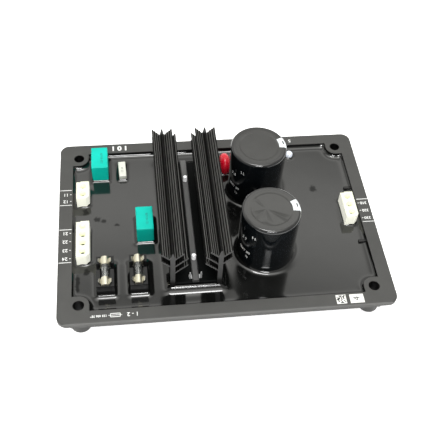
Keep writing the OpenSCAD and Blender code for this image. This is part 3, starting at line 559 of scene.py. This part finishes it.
# Slopes that a meniscus has where it starts: the steep one fades soon and the shallow one later
NARROW = {"steep": math.radians(38), "shallow": math.radians(22)}
BROAD = {"steep": math.radians(30), "shallow": math.radians(32)}
STEEP_SHARE = 0.5
SHALLOW_SHARE = 2
# A meniscus is worked out over this many of its lengths, in this many steps
CREEP_END = 8
CREEP_STEPS = 600
HIDDEN_DEPTH = 0.5 * MM
TOP_RISE = 3 * MM
LIFT = 0.03 * MM
BOX_CORNER = 0.4 * MM
HEADER_CORNER = 3.2 * MM
WALL_BLEND = 1.2 * MM
# Lengths over which the resin creeps, in millimetres
WALL_CREEP = 1.1
CREEP = {
    "upper_film_capacitor": 1, "lower_film_capacitor": 1, "small_film_capacitor": 0.8, "varistor": 0.8,
    "two_way_header": 0.8, "four_way_header": 0.8, "three_way_header": 0.8,
    "left_fuse_holder": 1.3, "right_fuse_holder": 1.3,
}
ROUND_CREEP = {"front_capacitor_sleeve": 1.2, "rear_capacitor_sleeve": 1.2, "indicator_lamp": 0.6}
SINK_CREEP = 2
SINK_GROUP = ("left_heat_sink", "sink_carrier", "right_heat_sink")


def box_distance(x, y, low, high, corner):
    """Distance from a box with round corners, negative inside."""
    centre, half = (low + high) / 2, (high - low) / 2
    over_x = np.abs(x - centre.x) - half.x + corner
    over_y = np.abs(y - centre.y) - half.y + corner
    outside = np.hypot(np.maximum(over_x, 0), np.maximum(over_y, 0))
    return outside + np.minimum(np.maximum(over_x, over_y), 0) - corner


def round_distance(x, y, low, high):
    """Distance from an upright cylinder, negative inside."""
    centre = (low + high) / 2
    return np.hypot(x - centre.x, y - centre.y) - (high.x - low.x) / 2


def wall_distance(x, y):
    """Distance from the tray's walls and corner bosses, with the hollows between them rounded."""
    side, end = POOL_X - np.abs(x), POOL_Y - np.abs(y)
    boss = np.hypot(np.maximum(HOLE_X - np.abs(x), 0), np.maximum(HOLE_Y - np.abs(y), 0)) - BOSS_R
    lowest, highest = -5 * MM, 30 * MM
    near = sum(np.exp(-np.clip(away, lowest, highest) / WALL_BLEND) for away in (side, end, boss))
    return -WALL_BLEND * np.log(near)


def creep(distance, length, steep, shallow):
    """Height to which the resin has crept at this distance from what it wets."""
    steps = np.linspace(-HIDDEN_DEPTH, CREEP_END * length, CREEP_STEPS)
    away = np.maximum(steps, 0) / length
    angle = steep * np.exp(-away / STEEP_SHARE) + shallow * np.exp(-(away / SHALLOW_SHARE) ** 2)
    height = np.flip(np.cumsum(np.flip(np.tan(angle)))) * (steps[1] - steps[0])
    return np.interp(distance, steps, height - height[-1])


def wetted_places(x, y):
    """Distance from each thing that the resin wets, with the length and slopes of the meniscus there."""
    places = [(wall_distance(x, y), WALL_CREEP, NARROW)]
    for node, length in CREEP.items():
        corner = HEADER_CORNER if "header" in node else BOX_CORNER
        places.append((box_distance(x, y, *section_box(node, RESIN_Z), corner), length, NARROW))
    for node, length in ROUND_CREEP.items():
        places.append((round_distance(x, y, *section_box(node, RESIN_Z)), length, NARROW))
    cuts = [section_box(node, RESIN_Z) for node in SINK_GROUP]
    low = Vector((min(cut[0].x for cut in cuts), min(cut[0].y for cut in cuts)))
    high = Vector((max(cut[1].x for cut in cuts), max(cut[1].y for cut in cuts)))
    places.append((box_distance(x, y, low, high, BOX_CORNER), SINK_CREEP, BROAD))
    return places


def resin_piece(name, points, faces):
    """Part of the resin's surface, made of the grid's points that its faces use."""
    used, corners = np.unique(faces, return_inverse=True)
    mesh = bpy.data.meshes.new(name)
    mesh.from_pydata(points[used].tolist(), [], corners.reshape(faces.shape).tolist())
    return piece(name, mesh, LOOKS["potting_resin"], smooth=True)


def resin_surface():
    """A grid over the pool, raised where the resin creeps and left out where something stands in it."""
    count_x, count_y = (2 * math.ceil(half / GRID) + 1 for half in (POOL_X, POOL_Y))
    xs = (np.arange(count_x) - count_x // 2) * GRID
    ys = (np.arange(count_y) - count_y // 2) * GRID
    x, y = np.meshgrid(xs, ys)
    places = wetted_places(x, y)
    rise = sum(creep(distance, length * MM, **slopes) for distance, length, slopes in places)
    height = TOP_RISE * np.tanh(rise / TOP_RISE)
    height = np.maximum(height, 0) + LIFT
    free = np.min([place[0] for place in places], axis=0) > -HIDDEN_DEPTH
    points = np.stack([x, y, RESIN_Z + height], -1).reshape(-1, 3)
    index = np.arange(count_x * count_y).reshape(count_y, count_x)
    corners = [index[:-1, :-1], index[:-1, 1:], index[1:, 1:], index[1:, :-1]]
    faces = np.stack(corners, -1)
    kept = free[:-1, :-1] | free[1:, :-1] | free[:-1, 1:] | free[1:, 1:]
    half = count_x // 2
    resin_piece("left_resin_surface", points, faces[:, :half][kept[:, :half]])
    resin_piece("right_resin_surface", points, faces[:, half:][kept[:, half:]])


resin_surface()


# End discs: films that sink a little inside their rims, the front one crumpled by a knock

FILM_RISE = 0.17 * MM
FILM_GAP = 0.2 * MM
SUNK_R = 12.5 * MM
SUNK_EDGE = 0.8 * MM
SUNK_DEPTH = 0.1 * MM
FILM_GRID = 128
KNOCK = Vector((-3, 0.3)) * MM
# Valleys: the angles in degrees at which each starts and ends, and its slopes there
FOLDS = ((188, 236, 0.075, 0.1), (236, 284, 0.075, 0.12), (116, 136, 0.1, 0.1), (312, 337, 0.1, 0.08))
FRONT_TILT = 0.008
TILT_START_Y = 2 * MM


def fold_depth(x, y):
    """Depth of the film's tilt and of the valleys that run outwards from the knock."""
    depth = FRONT_TILT * max(0, TILT_START_Y - y)
    for start, end, start_slope, end_slope in FOLDS:
        a, b = math.radians(start), math.radians(end)
        from_start = math.cos(a) * (y - KNOCK.y) - math.sin(a) * (x - KNOCK.x)
        from_end = math.sin(b) * (x - KNOCK.x) - math.cos(b) * (y - KNOCK.y)
        depth += max(0, min(start_slope * from_start, end_slope * from_end))
    return depth


def film_disc(name, node, folded):
    """An end disc out to the sleeve's lip."""
    low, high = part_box(node)
    centre, radius = (low + high) / 2, (high.x - low.x) / 2 + FILM_GAP
    bm = bmesh.new()
    bmesh.ops.create_grid(bm, x_segments=FILM_GRID, y_segments=FILM_GRID, size=1)
    for v in bm.verts:
        across_x, across_y = v.co.x, v.co.y
        x = radius * across_x * math.sqrt(1 - across_y ** 2 / 2)
        y = radius * across_y * math.sqrt(1 - across_x ** 2 / 2)
        away = math.hypot(x, y)
        sunk = SUNK_DEPTH * min(1, max(0, (SUNK_R - away) / SUNK_EDGE))
        if folded:
            sunk += fold_depth(x, y) * max(0, 1 - (away / SUNK_R) ** 4)
        v.co = (centre.x + x, centre.y + y, high.z + FILM_RISE - sunk)
    mesh = bpy.data.meshes.new(name)
    bm.to_mesh(mesh)
    bm.free()
    obj = piece(name, mesh, DISC_LOOKS[node], smooth=True)
    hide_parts(node)


film_disc("front_film_disc", "front_capacitor_disc", folded=True)
film_disc("rear_film_disc", "rear_capacitor_disc", folded=False)


# Print: terminal lines and plain numbers on the rim, a fuse sign, two stickers, and figures on the parts

RIM_OUT = 99.4 * MM
RIM_IN = 91.9 * MM
TICK_OUT = 93.1 * MM
TICK_IN = 92.2 * MM
LINE_W = 0.45 * MM
UPSIDE_DOWN = math.pi
SIDEWAYS = math.pi / 2
FRONT_Y = -65.4 * MM
# Stickers: left, right, front and back edge
INNER_STICKER = (62.6 * MM, 68.6 * MM, -68.4 * MM, -62.4 * MM)
OUTER_STICKER = (70.8 * MM, 79.2 * MM, -68.5 * MM, -62.5 * MM)
STICKER_MARGIN = 0.4 * MM
STICKER_CELLS = 8
# Rows on a capacitor's sleeve: the figures, their size in mm, their angle in degrees and their level in mm
SLEEVE_ROWS = (
    ("11", 3.4, -131, 46), ("2 3", 3, -154, 40.5), ("4567 89", 3, -151, 29.5), ("10", 2.4, -143, 25),
)


def rim_marks(name, side, lines, rows, figures_x, size):
    """Lines between terminal groups, and a tick and a number beside each terminal."""
    marks = Print()
    for y in lines:
        marks.stroke((side * RIM_IN, y * MM), (side * RIM_OUT, y * MM), LINE_W, RIM_Z)
    for text, y in rows.items():
        marks.stroke((side * TICK_IN, y * MM), (side * TICK_OUT, y * MM), LINE_W, RIM_Z)
        marks.figures(text, size * MM, figures_x * MM, y * MM, RIM_Z, UPSIDE_DOWN, weight=0.06 * MM)
    return marks.done(name, WHITE_PRINT)


def fuse_mark():
    """The usual sign for a fuse, a long box on a line, with the two fuses' numbers."""
    marks = Print()
    half = 1.1 * MM
    front, back = FRONT_Y - half, FRONT_Y + half
    left, right = -69.3 * MM, -63.8 * MM
    lead_left, lead_right, lead_w = -70.5 * MM, -62.7 * MM, 0.35 * MM
    numbers_x, small_row_x = -56.6 * MM, -76.1 * MM
    for y in (front, back):
        marks.stroke((left, y), (right, y), LINE_W, RIM_Z)
    for x in (left, right):
        marks.stroke((x, front), (x, back), LINE_W, RIM_Z)
    marks.stroke((lead_left, FRONT_Y), (lead_right, FRONT_Y), lead_w, RIM_Z)
    marks.figures("1 - 2", 3.6 * MM, numbers_x, FRONT_Y, RIM_Z, UPSIDE_DOWN, weight=0.08 * MM)
    marks.figures("123 456 789", 1.9 * MM, small_row_x, FRONT_Y, RIM_Z, UPSIDE_DOWN, weight=0.06 * MM)
    return marks.done("fuse_mark", WHITE_PRINT)


def sticker(name, left, right, front, back):
    """A pale sticker on the rim."""
    marks = Print()
    y = (front + back) / 2
    marks.stroke((left, y), (right, y), back - front, RIM_Z)
    return marks.done(name, PAPER)


def sticker_cells(left, right, front, back):
    """A pattern of dark cells on a sticker, drawn by chance, so it encodes nothing."""
    marks = Print()
    chance = np.random.default_rng(7)
    cell = (right - left - 2 * STICKER_MARGIN) / STICKER_CELLS
    rows = round((back - front - 2 * STICKER_MARGIN) / cell)
    for column in range(STICKER_CELLS):
        for row in range(rows):
            if chance.random() < 0.5:
                x = left + STICKER_MARGIN + column * cell
                y = front + STICKER_MARGIN + (row + 0.5) * cell
                marks.stroke((x, y), (x + cell, y), cell, RIM_Z + PRINT_T)
    return marks.done("sticker_cells", DARK_PRINT)


def sticker_number(left, right, front, back):
    """A single figure in the middle of a sticker."""
    marks = Print()
    marks.figures("4", 5.6 * MM, (left + right) / 2, (front + back) / 2, RIM_Z + PRINT_T, SIDEWAYS)
    return marks.done("sticker_number", DARK_PRINT)


def sleeve_figures(name, node):
    """Plain numbers on the left of a capacitor's side."""
    low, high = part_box(node)
    centre, radius = middle(node), (high.x - low.x) / 2
    marks = Print()
    for text, size, turn, z in SLEEVE_ROWS:
        marks.figures_round(text, size * MM, centre, radius, math.radians(turn), z * MM, weight=0.05 * MM)
    return marks.done(name, WHITE_PRINT)


def film_figures(name, node, text, shift_x, look):
    """A faint row of figures along the top of a film capacitor."""
    at, top = middle(node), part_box(node)[1].z
    size, shift_y = 2 * MM, -1 * MM
    marks = Print()
    marks.figures(text, size, at.x + shift_x, at.y + shift_y, top, SIDEWAYS)
    return marks.done(name, look)


def back_numbers():
    """Plain numbers on the back rim, beside the lamp and behind the film capacitors."""
    film_x, film_y = -60.5 * MM, 65.6 * MM
    lamp_x, lamp_y = 57 * MM, 65.2 * MM
    marks = Print()
    marks.figures("1 0 1", 5.4 * MM, film_x, film_y, RIM_Z, UPSIDE_DOWN, weight=0.25 * MM)
    marks.figures("5", 3.6 * MM, lamp_x, lamp_y, RIM_Z, UPSIDE_DOWN, weight=0.1 * MM)
    return marks.done("back_numbers", WHITE_PRINT)


rim_marks("left_rim_marks", -1, (30.0, 17.6, -2.0, -26.9), {
    "11": 26.3, "12": 20.7, "21": -4.9, "22": -11.3, "23": -17.9, "24": -24.1,
}, figures_x=-95.7, size=3.3)
rim_marks("right_rim_marks", 1, (9.6, -9.0), {
    "310": 6.4, "320": 0.2, "330": -5.9,
}, figures_x=95.9, size=2.9)
fuse_mark()
sticker("inner_sticker", *INNER_STICKER)
sticker("outer_sticker", *OUTER_STICKER)
sticker_cells(*INNER_STICKER)
sticker_number(*OUTER_STICKER)
for row in ("front", "rear"):
    sleeve_figures(f"{row}_sleeve_figures", f"{row}_capacitor_sleeve")
for row in ("upper", "lower"):
    film_figures(f"{row}_film_figures", f"{row}_film_capacitor", "123 45 678", 1.5 * MM, TEAL_PRINT)
film_figures("small_film_figures", "small_film_capacitor", "12 34", 0, GREY_PRINT)
back_numbers()


# Stage, light and camera

FLOOR_HALF = 4.0
LAMP_DISTANCE = 0.9
# Sky: its level, what it gains behind and overhead, and the strength, height and half width of the band
SKY = 0.5
SKY_COLOUR = (1, 0.995, 0.955, 1)
SKY_BACK = 0.45
BAND = 1.0
BAND_HEIGHT = math.sin(math.radians(50.5))
BAND_HALF = 0.09
ZENITH = 2.6
ZENITH_EDGE = math.sin(math.radians(60))


def floor():
    """A pale floor, bright enough to be white where the regulator casts no shadow."""
    mesh = bpy.data.meshes.new("floor")
    corners = [(x * FLOOR_HALF, y * FLOOR_HALF, 0) for x, y in ((-1, -1), (1, -1), (1, 1), (-1, 1))]
    mesh.from_pydata(corners, [], [(0, 1, 2, 3)])
    obj = bpy.data.objects.new("floor", mesh)
    bpy.context.scene.collection.objects.link(obj)
    look = Look("floor", Roughness=0.9, Emission_Strength=0.6)
    look.set("Base Color", look.clouds((0.88, 0.88, 0.88), (0.91, 0.91, 0.91), 6))
    mesh.materials.append(look.material)


def world():
    """A plain surround, paler behind and overhead, with a soft band that glossy faces mirror."""
    sky = bpy.data.worlds.new("studio")
    bpy.context.scene.world = sky
    sky.use_nodes = True
    graph = Graph(sky.node_tree)
    _, y, z = graph.axes(graph.add("ShaderNodeTexCoord").outputs["Generated"])
    back = graph.span(y, 0, 1, 0, 0.6, "SMOOTHSTEP")
    off_band = graph.math("ABSOLUTE", graph.math("SUBTRACT", z, BAND_HEIGHT))
    band = graph.span(off_band, BAND, 0, 0, BAND_HALF, "SMOOTHSTEP")
    behind = graph.math("MULTIPLY", back, graph.math("ADD", band, SKY_BACK))
    above = graph.span(z, SKY, SKY + ZENITH, ZENITH_EDGE, 1, "SMOOTHSTEP")
    shader = sky.node_tree.nodes["Background"]
    shader.inputs["Color"].default_value = SKY_COLOUR
    graph.join(graph.math("ADD", behind, above), shader.inputs["Strength"])


def lamp(name, azimuth, elevation, size, radiance, diffuse=True, glossy=True):
    """An oval lamp that faces the regulator, with its brightness and the kinds of light that it gives."""
    data = bpy.data.lights.new(name, "AREA")
    data.shape = "ELLIPSE"
    data.size, data.size_y = size
    area = math.pi / 4 * size[0] * size[1]
    data.energy = radiance * math.pi * area
    obj = bpy.data.objects.new(name, data)
    bpy.context.scene.collection.objects.link(obj)
    a, e = math.radians(azimuth), math.radians(elevation)
    away = Vector((math.sin(a) * math.cos(e), -math.cos(a) * math.cos(e), math.sin(e)))
    obj.location = away * LAMP_DISTANCE
    obj.rotation_mode = "QUATERNION"
    obj.rotation_quaternion = (-away).to_track_quat("-Z", "Y")
    obj.visible_diffuse = diffuse
    obj.visible_glossy = glossy


def camera():
    """The photograph's own viewpoint."""
    azimuth, elevation, roll = math.radians(-9.536), math.radians(51.26), math.radians(4.24)
    aim, distance = Vector((-1.858, 3.117, 20)) * MM, 472.857 * MM
    focal_px, frame_px, sensor = 743.0, 430, 36
    back = Vector((
        math.sin(azimuth) * math.cos(elevation),
        -math.cos(azimuth) * math.cos(elevation),
        math.sin(elevation),
    ))
    side = Vector((math.cos(azimuth), math.sin(azimuth), 0))
    up = back.cross(side)
    right = side * math.cos(roll) + up * math.sin(roll)
    top = -side * math.sin(roll) + up * math.cos(roll)
    data = bpy.data.cameras.new("camera")
    data.sensor_width = sensor
    data.lens = sensor * focal_px / frame_px
    data.clip_start = 0.01
    obj = bpy.data.objects.new("camera", data)
    bpy.context.scene.collection.objects.link(obj)
    turn = Matrix((right, top, back)).transposed()
    obj.matrix_world = Matrix.Translation(aim + back * distance) @ turn.to_4x4()
    bpy.context.scene.camera = obj


floor()
world()
lamp("overhead_panel", 0, 86, (0.34, 0.16), 18, glossy=False)
lamp("overhead_glow", 0, 88, (0.34, 0.13), 18, diffuse=False)
lamp("front_panel", -5, 46, (1, 0.18), 9, glossy=False)
lamp("front_band", 0, 47, (0.34, 0.07), 50, diffuse=False)
lamp("front_spot", 1, 51.8, (0.26, 0.012), 30, diffuse=False)
camera()
bpy.context.scene.view_settings.view_transform = "Standard"
